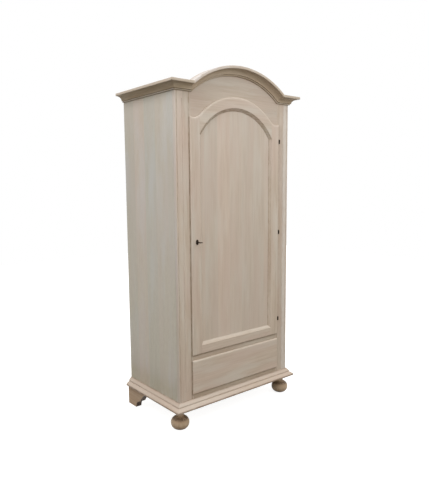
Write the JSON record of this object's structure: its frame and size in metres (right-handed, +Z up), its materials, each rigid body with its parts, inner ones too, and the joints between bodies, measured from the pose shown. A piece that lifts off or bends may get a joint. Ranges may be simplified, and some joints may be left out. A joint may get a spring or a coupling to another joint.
{
  "type": "wardrobe",
  "caption": "Wooden wardrobe with an arched crown, a panelled arched door with lock and key, a drawer below, ball feet in front and bracket feet behind.",
  "frame": {"origin": "on the floor under the middle of the overall box", "axes": "+X to the hinge side (the right, seen from the front), +Y from front to back, +Z up"},
  "size_m": [1, 0.6, 2.099],
  "materials": {
    "pale_wood": "pale limed wood, matt",
    "side_wood": "pale limed glued boards, matt",
    "crown_wood": "pale limed wood, matt",
    "inner_wood": "bare planed wood",
    "plywood": "bare sheet wood",
    "dark_metal": "dark antiqued metal",
    "steel": "plain zinc-grey steel"
  },
  "bodies": {
    "carcass": {"side_right": "side_wood", "side_left": "side_wood", "compartment_floor": "inner_wood", "hat_shelf": "inner_wood", "top_board": "inner_wood", "back_panel": "plywood", "base_board": "inner_wood", "shelf_batten_right": "inner_wood", "shelf_batten_left": "inner_wood", "floor_batten_right": "inner_wood", "floor_batten_left": "inner_wood", "stile_right": "pale_wood", "stile_left": "pale_wood", "strike_plate": "steel", "middle_rail": "pale_wood", "lower_rail": "pale_wood", "tympanum_board": "pale_wood", "crown_right": "crown_wood", "crown_left": "crown_wood", "crown_front_right": "crown_wood", "crown_front_left": "crown_wood", "crown_arch": "crown_wood", "base_moulding_front": "pale_wood", "base_moulding_right": "pale_wood", "base_moulding_left": "pale_wood", "ball_foot_right": "pale_wood", "ball_foot_left": "pale_wood", "bracket_foot_right": "pale_wood", "bracket_foot_left": "pale_wood", "hinge_frame_half_top": "dark_metal", "hinge_frame_half_middle": "dark_metal", "hinge_frame_half_bottom": "dark_metal", "runner_right": "inner_wood", "runner_left": "inner_wood", "kicker_right": "inner_wood", "kicker_left": "inner_wood", "guide_right": "inner_wood", "guide_left": "inner_wood", "rail_socket_right": "inner_wood", "rail_socket_left": "inner_wood", "hanging_rail": "inner_wood"},
    "door": {"door_rail_bottom": "pale_wood", "door_rail_top": "pale_wood", "door_panel": "pale_wood", "door_stile_hinge": "pale_wood", "door_stile_lock": "pale_wood", "lock_case": "steel", "escutcheon": "dark_metal", "hinge_door_half_top": "dark_metal", "hinge_door_half_middle": "dark_metal", "hinge_door_half_bottom": "dark_metal"},
    "key": {"key": "dark_metal"},
    "bolt": {"lock_bolt": "steel"},
    "drawer": {"drawer_front": "pale_wood", "drawer_side_right": "inner_wood", "drawer_side_left": "inner_wood", "drawer_back": "inner_wood", "drawer_bottom": "plywood"}
  },
  "joints": [
    {"name": "door_swing", "type": "hinge", "parent": "carcass", "child": "door", "pos_m": [0.3593, -0.252, 1.115], "axis": [0, 0, 1], "range_deg": [0, 105]},
    {"name": "drawer_slide", "type": "slide", "parent": "carcass", "child": "drawer", "axis": [0, -1, 0], "range_m": [0, 0.36]},
    {"name": "key_turn", "type": "hinge", "parent": "door", "child": "key", "pos_m": [-0.313, -0.257, 1.097], "axis": [0, -1, 0], "range_deg": [0, 180]},
    {"name": "bolt_slide", "type": "slide", "parent": "door", "child": "bolt", "axis": [-1, 0, 0], "range_m": [0, 0.01]}
  ],
  "couplings": [
    {"joint": "bolt_slide", "follows": "key_turn", "m_per_rad": 0.003183}
  ]
}
